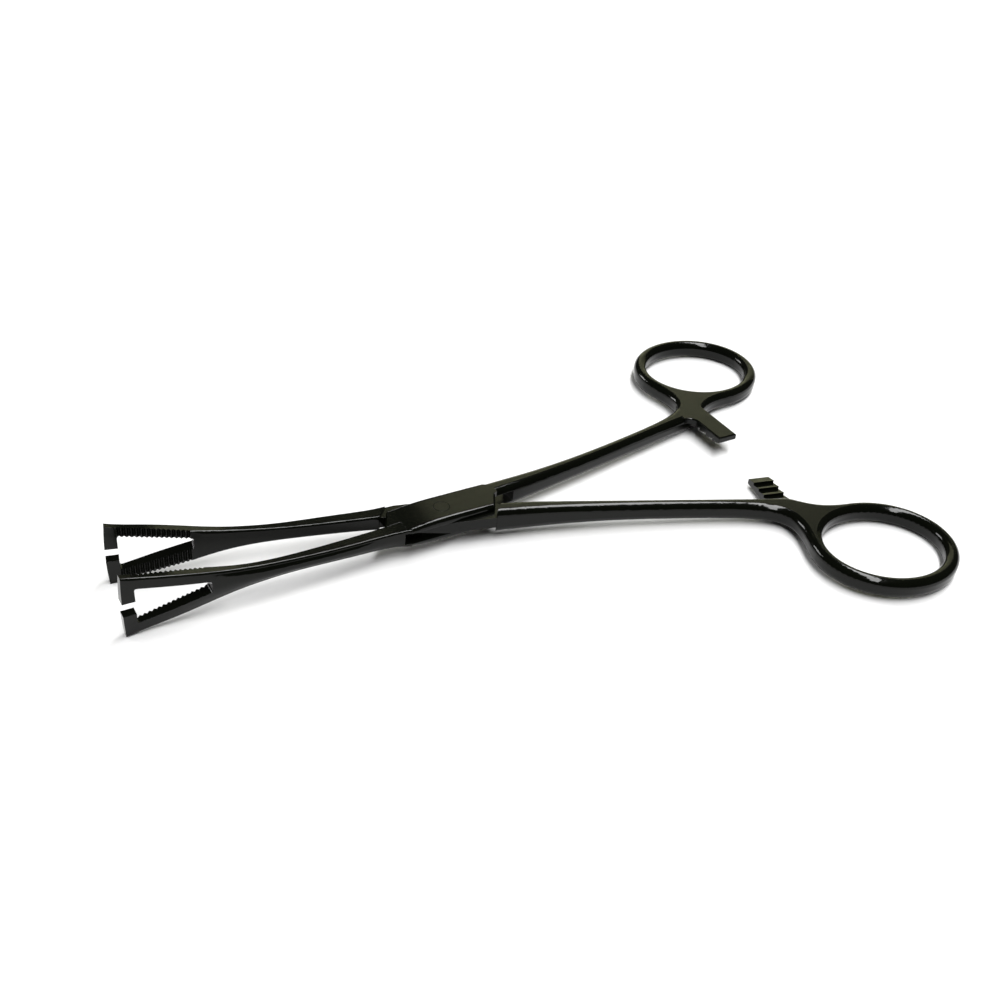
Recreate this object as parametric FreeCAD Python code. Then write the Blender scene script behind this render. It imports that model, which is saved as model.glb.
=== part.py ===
import FreeCAD, Part
import math
import os

# Tissue grasping forceps with slotted triangular jaws, a box lock, finger rings and a ratchet.
# Each half is drawn closed, in its own frame: pin axis at the origin along Z, jaw towards -X on
# the +Y side of the closing plane, finger ring towards +X on the -Y side.  The passing half is
# used as drawn.  The boxed half is the mirror image, with two cheeks around a window in place of
# the passing half's thin web.  Both are then opened to the pose of the photograph and laid on
# the table, which tilts them a little because the jaws are taller than the rings.

# ---- overall sizes (mm) ----
JAW_LENGTH = 58.0
RING_CENTRE_X = 78.0
RING_CENTRE_Y = 24.75
OPEN_ANGLE = 12.85
GRIP_GAP = 0.06

# ---- jaws ----
JAW_HEIGHT = 12.2
TIP_CROWN = 0.3
TIP_BAR = 1.9
UPPER_MEMBER = 1.95
LOWER_MEMBER = 2.3
OPENING_END_X = 43.7
OPENING_END_TOP = 1.5
OPENING_END_LOW = 0.6
OPENING_CORNER_R = 0.35
SLOT_HEIGHT = 2.6
TOOTH_PITCH = 0.8
TOOTH_DEPTH = 0.4
ARM_EDGE = 0.42

# Jaw and arm sections: distance from the pin, inner side, width of the top edge,
# crown of the outer side, half height.
ARM_SECTIONS = [
    (JAW_LENGTH + TIP_CROWN, -0.45, 1.80, 0.50, JAW_HEIGHT / 2 + 0.09),
    (52.0, -0.45, 2.15, 0.50, 4.80),
    (46.2, -0.25, 2.20, 0.55, 3.60),
    (41.0, 0.14, 1.86, 0.52, 2.55),
    (34.8, 0.46, 1.62, 0.50, 1.75),
    (25.7, 0.38, 2.04, 0.40, 1.35),
    (18.8, 0.30, 2.44, 0.32, 1.37),
    (13.0, 0.20, 2.70, 0.22, 1.48),
    (7.6, 0.20, 3.46, 0.04, 1.92),
]

# ---- box lock ----
BOX_WIDTH = 7.4
BOX_THICKNESS = 4.8
BOX_EDGE = 0.8
LAP_X = 11.3
LAP_CORNER_X = 9.2
LAP_GAP = 0.10
LAP_BEVEL = 0.4
WEB_THICKNESS = 2.2
WEB_CLEARANCE = 0.05
WEB_SIDE_CLEARANCE = 0.10
WINDOW_JAW_X = 8.9
WINDOW_HANDLE_X = 15.7
WEB_HEEL_RADIUS = 8.75
PIN_RADIUS = 1.5
PIN_CHAMFER = 0.08
PIN_CLEARANCE = 0.04

# ---- shanks, neck and finger rings ----
RING_HOLE_LENGTH = 23.2
RING_HOLE_WIDTH = 20.0
RING_TUBE_WIDTH = 2.65
RING_THICKNESS = 3.6
HANDLE_ROUND = 1.25
HANDLE_START_X = 9.6

RING_HALF_LENGTH = RING_HOLE_LENGTH / 2 + RING_TUBE_WIDTH
RING_HALF_WIDTH = RING_HOLE_WIDTH / 2 + RING_TUBE_WIDTH
RING_NEAR_X = RING_CENTRE_X - RING_HALF_LENGTH
RING_INNER_Y = RING_CENTRE_Y - RING_HALF_WIDTH
NECK_X = RING_NEAR_X - 0.7
NECK_Y = RING_INNER_Y - 4.3

# Poles of the side view of box and shank: distance from the pin, half thickness.  Beyond the
# last pole the neck and the ring are level.
SIDE_PROFILE = [
    (-12.0, 1.50),
    (-9.0, 1.76),
    (-7.6, 1.92),
    (-5.0, 2.26),
    (-2.0, BOX_THICKNESS / 2),
    (3.0, BOX_THICKNESS / 2),
    (8.0, BOX_THICKNESS / 2),
    (14.0, 2.33),
    (22.0, 2.06),
    (32.0, 1.84),
    (44.0, RING_THICKNESS / 2),
    (NECK_X - 9.0, RING_THICKNESS / 2),
    (NECK_X - 1.0, RING_THICKNESS / 2),
]

# Poles of the shank's edges in plan: share of the way from the box to the neck, share of the
# way from the closing plane to the neck's inner edge, width.
SHANK = [
    (0.082, 0.034, 3.62),
    (0.195, 0.113, 3.30),
    (0.382, 0.295, 2.90),
    (0.570, 0.497, 2.78),
    (0.757, 0.715, 2.78),
    (0.888, 0.870, 2.98),
]

# Poles of the neck's edges in plan: distance past the near end of the ring, distance outside
# the ring's inner side.
NECK_INNER = [
    (2.85, -3.95),
    (4.60, -2.60),
    (6.60, -1.25),
    (9.20, -0.30),
]
NECK_OUTER = [
    (-1.95, -0.75),
    (0.60, 1.15),
    (1.25, 4.45),
    (0.62, 8.30),
]

# ---- ratchets ----
RATCHET_X = RING_NEAR_X + 2.2
RATCHET_WIDTH = 4.4
RATCHET_REACH = 1.4
RATCHET_ROOT_Y = RING_INNER_Y
RATCHET_TOOTH = 0.55
RATCHET_PITCH = 2.1
RATCHET_TEETH = 4
RATCHET_CLEARANCE = 0.05
RATCHET_ROUND = 0.3
RATCHET_ROOT_ROUND = 2.0


def vec(x, y, z=0.0):
    return FreeCAD.Vector(x, y, z)


def prism(points, z_low, z_high):
    """Upright prism on a closed plan outline of (x, y) points."""
    corners = [vec(x, y, z_low) for x, y in points]
    wire = Part.makePolygon(corners + corners[:1])
    return Part.Face(wire).extrude(vec(0, 0, z_high - z_low))


def cross_prism(points, y_low, y_high):
    """Prism along Y on a closed side outline of (x, z) points."""
    corners = [vec(x, y_low, z) for x, z in points]
    wire = Part.makePolygon(corners + corners[:1])
    return Part.Face(wire).extrude(vec(0, y_high - y_low, 0))


def corner_arc(start, corner, end):
    """Quarter-round edge that replaces a square corner."""
    centre = start + end - corner
    middle = centre + (corner - centre).multiply(math.sqrt(0.5))
    return Part.Arc(start, middle, end).toShape()


def arm_section(distance, inner, edge, crown, half):
    """One cross-section of jaw or arm: flat inner side, flat top edge, crowned outer side."""
    x = -distance
    outer = inner + edge
    r = ARM_EDGE
    edges = [
        Part.makeLine(vec(x, inner, -half + r), vec(x, inner, half - r)),
        corner_arc(vec(x, inner, half - r), vec(x, inner, half), vec(x, inner + r, half)),
        Part.makeLine(vec(x, inner + r, half), vec(x, outer - r, half)),
        corner_arc(vec(x, outer - r, half), vec(x, outer, half), vec(x, outer, half - r)),
        Part.Arc(vec(x, outer, half - r), vec(x, outer + crown, 0), vec(x, outer, -half + r)).toShape(),
        corner_arc(vec(x, outer, -half + r), vec(x, outer, -half), vec(x, outer - r, -half)),
        Part.makeLine(vec(x, outer - r, -half), vec(x, inner + r, -half)),
        corner_arc(vec(x, inner + r, -half), vec(x, inner, -half), vec(x, inner, -half + r)),
    ]
    return Part.Wire(edges)


def tip_trim():
    """Material beyond the slightly crowned end of the jaw."""
    half = JAW_HEIGHT
    rise = TIP_CROWN * (half / (JAW_HEIGHT / 2)) ** 2
    top = vec(-JAW_LENGTH - TIP_CROWN + rise, -3, half)
    middle = vec(-JAW_LENGTH - TIP_CROWN, -3, 0)
    low = vec(-JAW_LENGTH - TIP_CROWN + rise, -3, -half)
    far = -JAW_LENGTH - 10
    edges = [
        Part.Arc(top, middle, low).toShape(),
        Part.makeLine(low, vec(far, -3, -half)),
        Part.makeLine(vec(far, -3, -half), vec(far, -3, half)),
        Part.makeLine(vec(far, -3, half), top),
    ]
    return Part.Face(Part.Wire(edges)).extrude(vec(0, 8, 0))


def jaw_opening():
    """Triangular opening between the two members of the jaw frame, with the slot in its bar."""
    start = -JAW_LENGTH + TIP_BAR
    edge = JAW_HEIGHT / 2 - 0.42
    end = -OPENING_END_X
    corners = [
        (start, edge - UPPER_MEMBER),
        (start, LOWER_MEMBER - edge),
        (end, -OPENING_END_LOW),
        (end, OPENING_END_TOP),
    ]
    triangle = cross_prism(corners, -3, 6)
    upright = [e for e in triangle.Edges if abs(e.BoundBox.YLength - 9) < 0.01]
    triangle = triangle.makeFillet(OPENING_CORNER_R, upright)
    slot_half = SLOT_HEIGHT / 2
    outside = -JAW_LENGTH - 2
    slot = cross_prism(
        [(outside, slot_half), (outside, -slot_half), (start + 1, -slot_half), (start + 1, slot_half)],
        -3,
        6,
    )
    return triangle.fuse(slot)


def grip_teeth():
    """Upright V grooves across the grip face, from the opening's tip corner to its end."""
    first = -JAW_LENGTH + TIP_BAR
    count = int((JAW_LENGTH - TIP_BAR - OPENING_END_X) / TOOTH_PITCH)
    face = GRIP_GAP / 2
    grooves = []
    for index in range(count):
        left = first + index * TOOTH_PITCH
        outline = [
            (left, face - 0.2),
            (left, face),
            (left + TOOTH_PITCH / 2, face + TOOTH_DEPTH),
            (left + TOOTH_PITCH, face),
            (left + TOOTH_PITCH, face - 0.2),
        ]
        grooves.append(prism(outline, -JAW_HEIGHT, JAW_HEIGHT))
    return grooves[0].fuse(grooves[1:])


def jaw_and_arm():
    """Jaw frame and the arm that carries it, up to the box."""
    sections = [arm_section(*row) for row in ARM_SECTIONS]
    body = Part.makeLoft(sections, True, False)
    face = GRIP_GAP / 2
    body = body.cut(Part.makeBox(40, 5, 40, vec(-JAW_LENGTH - 2, face - 5, -20)))
    body = body.cut(tip_trim())
    body = body.cut(jaw_opening())
    return body.cut(grip_teeth())


def side_edge(sign, y):
    """Upper (sign 1) or lower (sign -1) line of the side view."""
    poles = [vec(x, y, sign * z) for x, z in SIDE_PROFILE]
    curve = Part.BSplineCurve()
    curve.buildFromPoles(poles)
    far = vec(RING_CENTRE_X + RING_HALF_LENGTH + RING_TUBE_WIDTH, y, sign * RING_THICKNESS / 2)
    return [curve.toShape(), Part.makeLine(poles[-1], far)]


def side_body():
    """Everything inside the side view of box, shank and ring, wider than the whole handle."""
    low_y = -RING_CENTRE_Y - RING_HALF_WIDTH - BOX_WIDTH
    upper = side_edge(1, low_y)
    lower = side_edge(-1, low_y)
    near_end = Part.makeLine(upper[0].firstVertex().Point, lower[0].firstVertex().Point)
    far_end = Part.makeLine(upper[1].lastVertex().Point, lower[1].lastVertex().Point)
    wire = Part.Wire(Part.__sortEdges__(upper + [far_end] + lower + [near_end]))
    return Part.Face(wire).extrude(vec(0, -2 * low_y, 0))


def edge_poles():
    """Poles of the inner and the outer edge from the box to the ring, in plan."""
    inner = [(HANDLE_START_X, 0.12)]
    outer = [(HANDLE_START_X, BOX_WIDTH / 2), (HANDLE_START_X + 1.5, BOX_WIDTH / 2)]
    for along, across, width in SHANK:
        x = HANDLE_START_X + along * (NECK_X - HANDLE_START_X)
        inner.append((x, across * NECK_Y))
        outer.append((x, across * NECK_Y + width))
    inner.append((NECK_X, NECK_Y))
    for past, outside in NECK_INNER:
        inner.append((RING_NEAR_X + past, RING_INNER_Y + outside))
    for past, outside in NECK_OUTER:
        outer.append((RING_NEAR_X + past, RING_INNER_Y + outside))
    inner.append((RING_CENTRE_X - 2.6, RING_INNER_Y))
    inner.append((RING_CENTRE_X, RING_INNER_Y))
    outer.append((RING_NEAR_X, RING_CENTRE_Y - 1.8))
    outer.append((RING_NEAR_X, RING_CENTRE_Y))
    return inner, outer


def smooth_edge(poles):
    """Smooth curve drawn by its poles in plan, on the handle's side of the closing plane."""
    curve = Part.BSplineCurve()
    curve.buildFromPoles([vec(x, -y, -RING_CENTRE_X) for x, y in poles])
    return curve.toShape()


def handle():
    """Shank, neck and finger ring, rounded along their upper and lower edges."""
    low_z = -RING_CENTRE_X
    centre = vec(RING_CENTRE_X, -RING_CENTRE_Y, low_z)
    ellipse = Part.Ellipse(centre, RING_HALF_LENGTH, RING_HALF_WIDTH)
    far_side = Part.ArcOfEllipse(ellipse, -math.pi, math.pi / 2).toShape()
    inner, outer = edge_poles()
    end = Part.makeLine(vec(HANDLE_START_X, -inner[0][1], low_z), vec(HANDLE_START_X, -outer[0][1], low_z))
    edges = [far_side, smooth_edge(inner), end, smooth_edge(outer)]
    rise = vec(0, 0, 2 * RING_CENTRE_X)
    body = Part.Face(Part.Wire(Part.__sortEdges__(edges))).extrude(rise)
    hole = Part.Ellipse(centre, RING_HOLE_LENGTH / 2, RING_HOLE_WIDTH / 2)
    body = body.cut(Part.Face(Part.Wire([hole.toShape()])).extrude(rise))
    body = body.common(side_body())
    rims = []
    for edge in body.Edges:
        place = edge.BoundBox
        if place.XLength > 1 and (place.ZMin > 1 or place.ZMax < -1):
            rims.append(edge)
    return body.makeFillet(HANDLE_ROUND, rims)


def ratchet_plan():
    """Ratchet arm seen from above, its root spreading in a round on the box's side."""
    left = RATCHET_X - RATCHET_WIDTH / 2
    right = RATCHET_X + RATCHET_WIDTH / 2
    spread = RATCHET_ROOT_ROUND
    root = -RATCHET_ROOT_Y
    start = -NECK_Y + 0.3
    low_z = -RING_THICKNESS
    turn = vec(left - spread, start + spread, low_z) + vec(math.sqrt(0.5), -math.sqrt(0.5)).multiply(spread)
    edges = [
        Part.makeLine(vec(right, root, low_z), vec(right, RATCHET_REACH, low_z)),
        Part.makeLine(vec(right, RATCHET_REACH, low_z), vec(left, RATCHET_REACH, low_z)),
        Part.makeLine(vec(left, RATCHET_REACH, low_z), vec(left, start + spread, low_z)),
        Part.Arc(vec(left, start + spread, low_z), turn, vec(left - spread, start, low_z)).toShape(),
        Part.makeLine(vec(left - spread, start, low_z), vec(left - spread, start - 1, low_z)),
        Part.makeLine(vec(left - spread, start - 1, low_z), vec(left, root, low_z)),
        Part.makeLine(vec(left, root, low_z), vec(right, root, low_z)),
    ]
    return Part.Face(Part.Wire(edges)).extrude(vec(0, 0, 2 * RING_THICKNESS))


def ratchet(teeth_up):
    """Ratchet arm reaching over the closing plane, with sawteeth on one side."""
    root = -RATCHET_ROOT_Y
    depth = RING_THICKNESS
    outline = [(root, -depth), (RATCHET_REACH, -depth), (RATCHET_REACH, -RATCHET_TOOTH)]
    for index in range(RATCHET_TEETH):
        crest = RATCHET_REACH - (index + 1) * RATCHET_PITCH
        outline.append((crest, 0))
        outline.append((crest, -RATCHET_TOOTH))
    outline.append((root, -RATCHET_TOOTH))
    sign = 1 if teeth_up else -1
    far_left = RATCHET_X - RATCHET_WIDTH
    corners = [vec(far_left, y, sign * (z - RATCHET_CLEARANCE)) for y, z in outline]
    wire = Part.makePolygon(corners + corners[:1])
    arm = Part.Face(wire).extrude(vec(2 * RATCHET_WIDTH, 0, 0))
    arm = arm.common(ratchet_plan()).common(side_body())
    rims = []
    for edge in arm.Edges:
        place = edge.BoundBox
        outside = max(abs(place.ZMin), abs(place.ZMax)) > RING_THICKNESS / 2 - 0.2
        reaches = place.YMax > -NECK_Y + 0.5
        if outside and place.ZLength < 0.2 and reaches:
            rims.append(edge)
    return arm.makeFillet(RATCHET_ROUND, rims)


def passing_half():
    """The half whose thin web passes through the window of the other half."""
    half_web = WEB_THICKNESS / 2
    half_width = BOX_WIDTH / 2
    side = half_width - WEB_SIDE_CLEARANCE
    blank = jaw_and_arm().fuse(handle())
    middle = prism(
        [
            (-LAP_X - LAP_GAP, 0.15),
            (-LAP_CORNER_X - LAP_GAP, half_width + 0.1),
            (-LAP_CORNER_X - LAP_GAP, 2 * BOX_WIDTH),
            (WINDOW_HANDLE_X, 2 * BOX_WIDTH),
            (WINDOW_HANDLE_X, 0.15),
            (LAP_X + LAP_GAP, -0.15),
            (LAP_CORNER_X + LAP_GAP, -half_width - 0.1),
            (LAP_CORNER_X + LAP_GAP, -2 * BOX_WIDTH),
            (-WINDOW_HANDLE_X, -2 * BOX_WIDTH),
            (-WINDOW_HANDLE_X, -0.15),
        ],
        -BOX_THICKNESS,
        BOX_THICKNESS,
    )
    blank = blank.cut(middle)
    heel = math.acos(side / WEB_HEEL_RADIUS)
    edges = [
        Part.makeLine(vec(-13.2, 0.4), vec(-13.2, 2.8)),
        Part.makeLine(vec(-13.2, 2.8), vec(-9.0, 3.4)),
        Part.makeLine(vec(-9.0, 3.4), vec(-8.0, side)),
        Part.makeLine(vec(-8.0, side), vec(8.0, side)),
        Part.makeLine(vec(8.0, side), vec(12.0, -0.3)),
        Part.makeLine(vec(12.0, -0.3), vec(14.0, -0.5)),
        Part.makeLine(vec(14.0, -0.5), vec(14.0, -side)),
    ]
    corner_x = -WEB_HEEL_RADIUS * math.sin(heel)
    edges.append(Part.makeLine(vec(14.0, -side), vec(corner_x, -side)))
    middle_angle = (math.asin(side / WEB_HEEL_RADIUS)) / 2
    arc_middle = vec(-WEB_HEEL_RADIUS * math.cos(middle_angle), -WEB_HEEL_RADIUS * math.sin(middle_angle))
    edges.append(Part.Arc(vec(corner_x, -side), arc_middle, vec(-WEB_HEEL_RADIUS, 0)).toShape())
    edges.append(Part.makeLine(vec(-WEB_HEEL_RADIUS, 0), vec(-WEB_HEEL_RADIUS, 0.4)))
    edges.append(Part.makeLine(vec(-WEB_HEEL_RADIUS, 0.4), vec(-13.2, 0.4)))
    web = Part.Face(Part.Wire(edges)).extrude(vec(0, 0, WEB_THICKNESS))
    web.translate(vec(0, 0, -half_web))
    body = blank.fuse([web, ratchet(True)])
    bore = Part.makeCylinder(PIN_RADIUS + PIN_CLEARANCE, 2 * BOX_THICKNESS, vec(0, 0, -BOX_THICKNESS))
    return body.cut(bore).removeSplitter()


def boxed_half():
    """The half with two cheeks around the window."""
    half_width = BOX_WIDTH / 2
    half_window = WEB_THICKNESS / 2 + WEB_CLEARANCE
    plan = [
        (-8.4, half_width - 0.25),
        (-7.6, half_width),
        (LAP_CORNER_X, half_width),
        (LAP_X, 0),
        (LAP_X + 0.5, -0.2),
        (LAP_X + 0.5, -2.0),
        (HANDLE_START_X + 0.2, -half_width),
        (-LAP_CORNER_X, -half_width),
        (-LAP_X, 0),
        (-LAP_X, 0.5),
        (-8.4, 0.5),
    ]
    box = prism(plan, -BOX_THICKNESS, BOX_THICKNESS).common(side_body())
    ends = []
    for edge in box.Edges:
        place = edge.BoundBox
        if place.YLength > half_width - 0.3 and abs(place.ZMin) > 1:
            ends.append(edge)
    box = box.makeChamfer(LAP_BEVEL, ends)
    rims = []
    for edge in box.Edges:
        place = edge.BoundBox
        if place.XLength > BOX_WIDTH and place.YLength < 0.01 and abs(place.ZMin) > 1:
            rims.append(edge)
    box = box.makeFillet(BOX_EDGE, rims)
    body = jaw_and_arm().fuse([box, handle(), ratchet(False)])
    window = Part.makeBox(
        WINDOW_JAW_X + WINDOW_HANDLE_X,
        BOX_WIDTH + 6,
        2 * half_window,
        vec(-WINDOW_JAW_X, -half_width - 3, -half_window),
    )
    lap = Part.makeBox(8, BOX_WIDTH, 2 * half_window, vec(-LAP_X - 1.0, 0.25 - BOX_WIDTH, -half_window))
    body = body.cut(window).cut(lap)
    bore = Part.makeCylinder(PIN_RADIUS, 2 * BOX_THICKNESS, vec(0, 0, -BOX_THICKNESS))
    body = body.cut(bore).removeSplitter()
    return body.mirror(vec(0, 0, 0), vec(0, 1, 0))


def pivot_pin():
    """Plain pin, riveted flush with both cheeks."""
    half = BOX_THICKNESS / 2
    pin = Part.makeCylinder(PIN_RADIUS, BOX_THICKNESS, vec(0, 0, -half))
    rims = [e for e in pin.Edges if e.BoundBox.ZLength < 0.001]
    return pin.makeChamfer(PIN_CHAMFER, rims)


def rest_tilt():
    """Angle at which the lower jaw corners and the finger rings touch the table together."""
    half_angle = math.radians(OPEN_ANGLE / 2)
    jaw_x = JAW_LENGTH * math.cos(half_angle)
    jaw_z = JAW_HEIGHT / 2
    along = RING_HALF_LENGTH - HANDLE_ROUND
    across = RING_HALF_WIDTH - HANDLE_ROUND
    centre_x = RING_CENTRE_X * math.cos(half_angle) - RING_CENTRE_Y * math.sin(half_angle)
    ring_x = centre_x + math.hypot(along * math.cos(half_angle), across * math.sin(half_angle))
    ring_z = RING_THICKNESS / 2 - HANDLE_ROUND
    tilt = 0.0
    for _ in range(20):
        fall = (jaw_z - ring_z) * math.cos(tilt) - HANDLE_ROUND
        tilt = math.asin(fall / (jaw_x + ring_x))
    return math.degrees(tilt)


def main():
    half_angle = OPEN_ANGLE / 2
    first = passing_half()
    first.rotate(vec(0, 0, 0), vec(0, 0, 1), -half_angle)
    second = boxed_half()
    second.rotate(vec(0, 0, 0), vec(0, 0, 1), half_angle)
    pin = pivot_pin()
    nodes = {"passing_half": first, "boxed_half": second, "pivot_pin": pin}
    for shape in nodes.values():
        shape.rotate(vec(0, 0, 0), vec(0, 1, 0), rest_tilt())
    everything = Part.makeCompound(list(nodes.values()))
    box = everything.optimalBoundingBox(False, False)
    shift = vec(-(box.XMin + box.XMax) / 2, -(box.YMin + box.YMax) / 2, -box.ZMin)
    os.makedirs("parts", exist_ok=True)
    for name, shape in nodes.items():
        shape.translate(shift)
        shape.exportStep("parts/" + name + ".step")


main()
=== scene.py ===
# %% [markdown]
# Tissue grasping forceps, lying open on a white table.
#
# The forceps are two forged halves and a pivot pin, coated black over polished steel. The solids
# carry the whole shape already, so this lesson is about making a dark glossy thing look right:
# that takes a good surface, and above all something bright and something dark to mirror.

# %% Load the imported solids
import math

import bpy
import numpy as np
from mathutils import Matrix, Vector

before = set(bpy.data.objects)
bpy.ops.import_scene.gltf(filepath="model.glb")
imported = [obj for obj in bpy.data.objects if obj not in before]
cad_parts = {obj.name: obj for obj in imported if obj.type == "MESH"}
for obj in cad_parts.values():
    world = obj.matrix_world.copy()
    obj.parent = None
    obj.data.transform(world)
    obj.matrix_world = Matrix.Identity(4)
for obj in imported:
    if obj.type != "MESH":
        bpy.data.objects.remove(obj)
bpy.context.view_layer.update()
MM = 0.001

# %% [markdown]
# Colours are written as the sRGB hex values that a paint program shows. Shaders work with linear
# light, so one function converts them.

# %% Colour helper
def linear(hex_colour):
    """sRGB to linear light: c/12.92 below 0.04045, else ((c + 0.055) / 1.055) to the power 2.4."""
    srgb = np.array([int(hex_colour[i:i + 2], 16) for i in (1, 3, 5)]) / 255
    light = np.where(srgb <= 0.04045, srgb / 12.92, ((srgb + 0.055) / 1.055) ** 2.4)
    return (*[float(v) for v in light], 1.0)


# %% [markdown]
# A material is a small graph of nodes. One helper adds any node, sets what is given for it and
# links its inputs, so each material below reads as a recipe.

# %% Node helper
def add(tree, kind, settings=None, inputs=None):
    """Adds a node of that kind; an input is a value, or an output socket to link from."""
    node = tree.nodes.new("ShaderNode" + kind)
    for name, value in (settings or {}).items():
        setattr(node, name, value)
    for name, value in (inputs or {}).items():
        socket = node.inputs[name]
        if isinstance(value, bpy.types.NodeSocket):
            tree.links.new(value, socket)
        else:
            socket.default_value = value
    return node


def new_material(name):
    """An empty node material with its output, and the object's own coordinates in metres."""
    material = bpy.data.materials.new(name)
    material.use_nodes = True
    tree = material.node_tree
    tree.nodes.clear()
    output = add(tree, "OutputMaterial")
    place = add(tree, "TexCoord").outputs["Object"]
    return material, tree, output, place


# %% [markdown]
# The finish on both halves is a hard black coating a few thousandths of a millimetre thick, on
# steel that was polished first. It mirrors the room at a few hundredths of its brightness, over
# a body colour that is almost black, with an olive cast in faint clouds.
#
# The rounds come off a soft wheel and are glossy; the level flats come off a belt and are a
# little satin. Polishing by hand leaves soft waves some millimetres long and faint hairlines
# along the instrument; both only bend and break the highlights. Every edge is broken by the
# wheel, about a tenth of a millimetre, and that draws the thin bright line along it.

# %% Black coating on polished steel
COATING_DARK = "#050604"
COATING_OLIVE = "#090b06"
COATING_IOR = 1.30
EDGE_BREAK = 0.10 * MM
CLOUD = 11.0 * MM
WAVE_LENGTH = 5.0 * MM
WAVE_HEIGHT = 0.04 * MM
HAIRLINE = 0.15 * MM
HAIRLINE_STRETCH = 0.05
HAIRLINE_DEPTH = 0.003 * MM
FLAT_FROM, FLAT_TO = 0.985, 0.999


def coating(name, round_gloss=0.09, flat_gloss=0.24):
    """Both gloss values are roughness; a flat is where the normal's upright share nears one."""
    material, tree, output, place = new_material(name)
    clouds = add(tree, "TexNoise", inputs={"Vector": place, "Scale": 1 / CLOUD, "Detail": 3.0})
    waves = add(tree, "TexNoise", inputs={"Vector": place, "Scale": 1 / WAVE_LENGTH, "Detail": 1.0})
    along = add(tree, "Mapping", inputs={"Vector": place, "Scale": (HAIRLINE_STRETCH, 1.0, 1.0)})
    hairs = add(tree, "TexNoise", inputs={
        "Vector": along.outputs["Vector"], "Scale": 1 / HAIRLINE, "Detail": 2.0})
    broken = add(tree, "Bevel", {"samples": 6}, {"Radius": EDGE_BREAK})
    normal = add(tree, "TexCoord").outputs["Normal"]
    upright = add(tree, "SeparateXYZ", inputs={"Vector": normal})
    level = add(tree, "Math", {"operation": "ABSOLUTE"}, {0: upright.outputs["Z"]})
    flat = add(tree, "MapRange", inputs={
        "Value": level.outputs["Value"], "From Min": FLAT_FROM, "From Max": FLAT_TO,
        "To Min": round_gloss, "To Max": flat_gloss})
    streaks = add(tree, "MapRange", inputs={
        "Value": hairs.outputs["Fac"], "From Min": 0.35, "From Max": 0.7,
        "To Min": -0.02, "To Max": 0.03})
    rough = add(tree, "Math", {"operation": "ADD"}, {
        0: flat.outputs["Result"], 1: streaks.outputs["Result"]})
    tint = add(tree, "Mix", {"data_type": "RGBA"}, {
        "Factor": clouds.outputs["Fac"], "A": linear(COATING_DARK), "B": linear(COATING_OLIVE)})
    swell = add(tree, "Bump", inputs={
        "Height": waves.outputs["Fac"], "Strength": 0.2, "Distance": WAVE_HEIGHT,
        "Normal": broken.outputs["Normal"]})
    fine = add(tree, "Bump", inputs={
        "Height": hairs.outputs["Fac"], "Strength": 0.06, "Distance": HAIRLINE_DEPTH,
        "Normal": swell.outputs["Normal"]})
    shader = add(tree, "BsdfPrincipled", inputs={
        "Base Color": tint.outputs["Result"], "IOR": COATING_IOR,
        "Roughness": rough.outputs["Value"], "Normal": fine.outputs["Normal"]})
    tree.links.new(shader.outputs["BSDF"], output.inputs["Surface"])
    return material


coated_steel = coating("black_coating_on_polished_steel")
coated_pin = coating("black_coating_on_riveted_pin", round_gloss=0.15)


# %% Dress the solids
def dress(node_name, material):
    """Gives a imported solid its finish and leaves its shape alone."""
    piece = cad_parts[node_name]
    piece.data.materials.clear()
    piece.data.materials.append(material)


dress("passing_half", coated_steel)
dress("boxed_half", coated_steel)
dress("pivot_pin", coated_pin)
print("finishes:", coated_steel.name, "and", coated_pin.name)

# %% [markdown]
# The table is a level sheet of matte white paper. A cream card stands behind it on the right:
# the level flats of the necks and the box mirror that card, which gives them their olive grey,
# while the arms, further left, mirror the dark room beside it.

# %% Sheet and card
SHEET_REACH = 3.0
CARD_LEFT = 0.22
CARD_WIDTH = 1.6
CARD_HEIGHT = 0.60
CARD_DISTANCE = 0.62
FIBRES_PER_METRE = 900.0
PAPER_ROUGHNESS = 0.7
PAPER_SHEEN = 0.3


def matte_paper(name, low_shade, high_shade):
    """Uncoated paper: its fibres shift the shade a little, far below what the eye picks out."""
    material, tree, output, place = new_material(name)
    fibres = add(tree, "TexNoise", inputs={"Vector": place, "Scale": FIBRES_PER_METRE, "Detail": 2.0})
    tone = add(tree, "Mix", {"data_type": "RGBA"}, {
        "Factor": fibres.outputs["Fac"], "A": linear(low_shade), "B": linear(high_shade)})
    shader = add(tree, "BsdfPrincipled", inputs={
        "Base Color": tone.outputs["Result"], "Roughness": PAPER_ROUGHNESS,
        "Specular IOR Level": PAPER_SHEEN})
    tree.links.new(shader.outputs["BSDF"], output.inputs["Surface"])
    return material


def flat_sheet(name, corners, material):
    """One four-cornered face of studio furniture, not part of the object."""
    mesh = bpy.data.meshes.new(name)
    mesh.from_pydata(corners, [], [(0, 1, 2, 3)])
    sheet = bpy.data.objects.new(name, mesh)
    bpy.context.scene.collection.objects.link(sheet)
    mesh.materials.append(material)


white_paper = matte_paper("matte_white_paper", "#f2f2f2", "#f6f6f6")
cream_card = matte_paper("matte_cream_card", "#dedfb6", "#e6e7c0")
r = SHEET_REACH
flat_sheet("table_sheet", [(-r, -r, 0), (r, -r, 0), (r, r, 0), (-r, r, 0)], white_paper)
left, right = CARD_LEFT, CARD_LEFT + CARD_WIDTH
y, top = CARD_DISTANCE, CARD_HEIGHT
flat_sheet("cream_card", [(left, y, 0), (right, y, 0), (right, y, top), (left, y, top)], cream_card)
print("sheet reaches", SHEET_REACH, "m each way, card stands", CARD_DISTANCE, "m behind")

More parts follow.
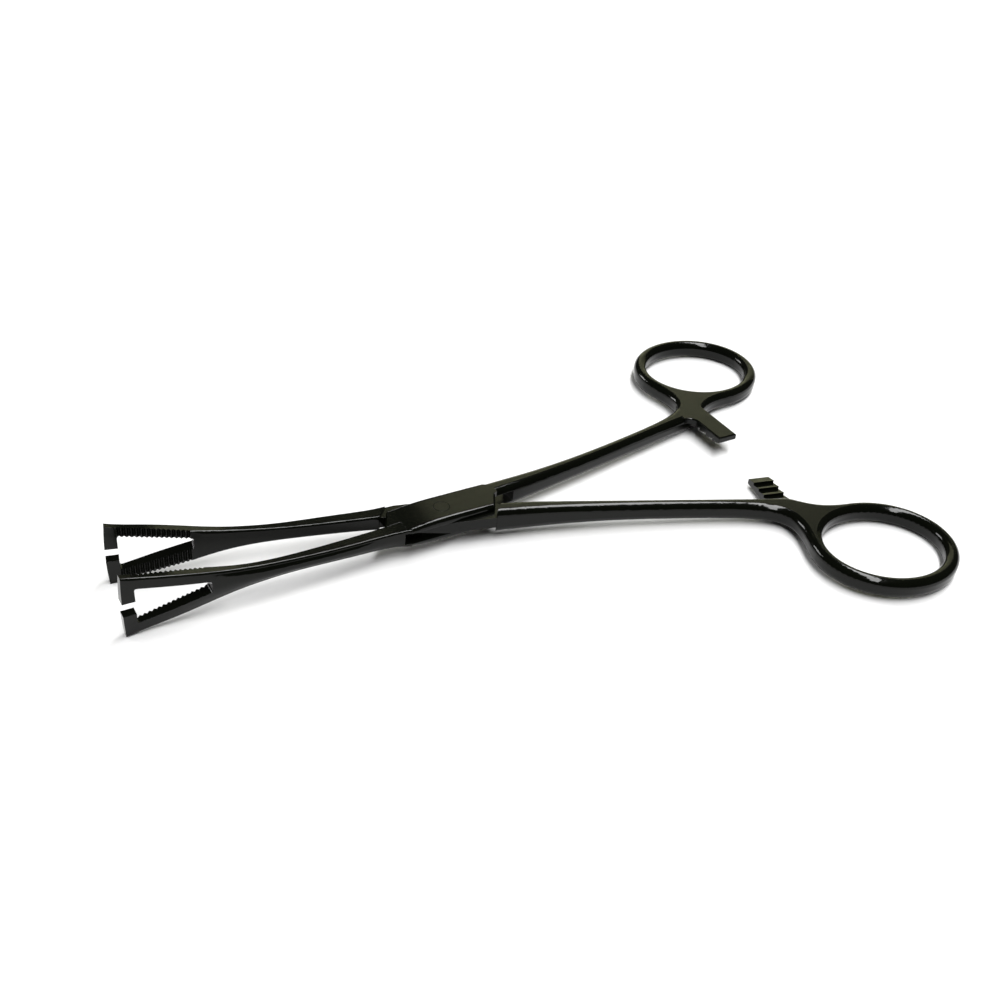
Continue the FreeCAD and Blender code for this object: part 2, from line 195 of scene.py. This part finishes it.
# %% [markdown]
# Lamps. A glossy dark thing is drawn by what it mirrors. One long softbox hangs above the table
# and runs the way the shanks run: it whitens the sheet, throws the soft shadow right under the
# steel and draws the thin line along every rounded edge. A small low lamp, far left, lights the
# bevelled ends of the lock's cheeks and adds the long faint shadow in front of the near arm.
# The rest of the room is dark, and that is the black.

# %% Lamps
TABLE_MIDDLE = (0, 0, 0)
SHANK_TURN = math.radians(14)
ROOM_GLOW = 0.035


def lamp(name, place, aim, size, watts, turn=0.0):
    """Rectangular lamp that faces a point; its long side lies level, turned about its own axis."""
    light = bpy.data.lights.new(name, "AREA")
    light.shape = "RECTANGLE"
    light.size, light.size_y = size
    light.energy = watts
    holder = bpy.data.objects.new(name, light)
    bpy.context.scene.collection.objects.link(holder)
    back = (Vector(place) - Vector(aim)).normalized()
    right = Vector((0, 0, 1)).cross(back).normalized()
    up = back.cross(right)
    facing = Matrix((right, up, back)).transposed().to_4x4()
    holder.matrix_world = Matrix.Translation(place) @ facing @ Matrix.Rotation(turn, 4, "Z")
    print(name, watts, "W,", round((Vector(place) - Vector(aim)).length, 2), "m away")


lamp("long_softbox", (0.12, -0.14, 0.92), TABLE_MIDDLE, (1.5, 0.18), 15.5, turn=SHANK_TURN)
lamp("low_lamp_far_left", (-0.70, 0.86, 0.46), TABLE_MIDDLE, (0.45, 0.30), 5)

world = bpy.data.worlds.new("dim_studio")
world.use_nodes = True
background = world.node_tree.nodes["Background"]
background.inputs["Color"].default_value = linear("#ffffff")
background.inputs["Strength"].default_value = ROOM_GLOW
bpy.context.scene.world = world

# The photograph clips its white sheet, so light is shown as it is, without a film curve.
bpy.context.scene.view_settings.view_transform = "Standard"

# %% [markdown]
# The camera stands at the photograph's place. Its numbers come from fitting a camera to the
# outlines of the rings, the ratchets and the jaws.

# %% Camera
VIEW_AZIMUTH = math.radians(-26.484)
VIEW_ELEVATION = math.radians(35.997)
VIEW_ROLL = math.radians(4.236)
VIEW_DISTANCE = 229.76 * MM
VIEW_TARGET = Vector((-1.843, 4.223, 3.0)) * MM
FOCAL_PX = 1216.96
IMAGE_PX = 1000
CENTRE_PX = (499.35, 495.65)
SENSOR = 36.0


def build_camera():
    """Back axis (sin a cos e, -cos a cos e, sin e); right and up are turned about it by the roll."""
    back = Vector((math.sin(VIEW_AZIMUTH) * math.cos(VIEW_ELEVATION),
                   -math.cos(VIEW_AZIMUTH) * math.cos(VIEW_ELEVATION), math.sin(VIEW_ELEVATION)))
    right = back.cross(Vector((0, 0, -1))).normalized()
    up = back.cross(right)
    turned = right * math.cos(VIEW_ROLL) + up * math.sin(VIEW_ROLL)
    raised = up * math.cos(VIEW_ROLL) - right * math.sin(VIEW_ROLL)
    data = bpy.data.cameras.new("photo_view")
    data.sensor_width = SENSOR
    data.lens = FOCAL_PX * SENSOR / IMAGE_PX
    data.shift_x = (IMAGE_PX / 2 - CENTRE_PX[0]) / IMAGE_PX
    data.shift_y = (CENTRE_PX[1] - IMAGE_PX / 2) / IMAGE_PX
    data.clip_start = 0.01
    camera = bpy.data.objects.new("photo_view", data)
    bpy.context.scene.collection.objects.link(camera)
    turn = Matrix((turned, raised, back)).transposed().to_4x4()
    camera.matrix_world = Matrix.Translation(VIEW_TARGET + back * VIEW_DISTANCE) @ turn
    bpy.context.scene.camera = camera
    print("camera at", [round(v / MM, 1) for v in camera.matrix_world.translation], "mm")


build_camera()
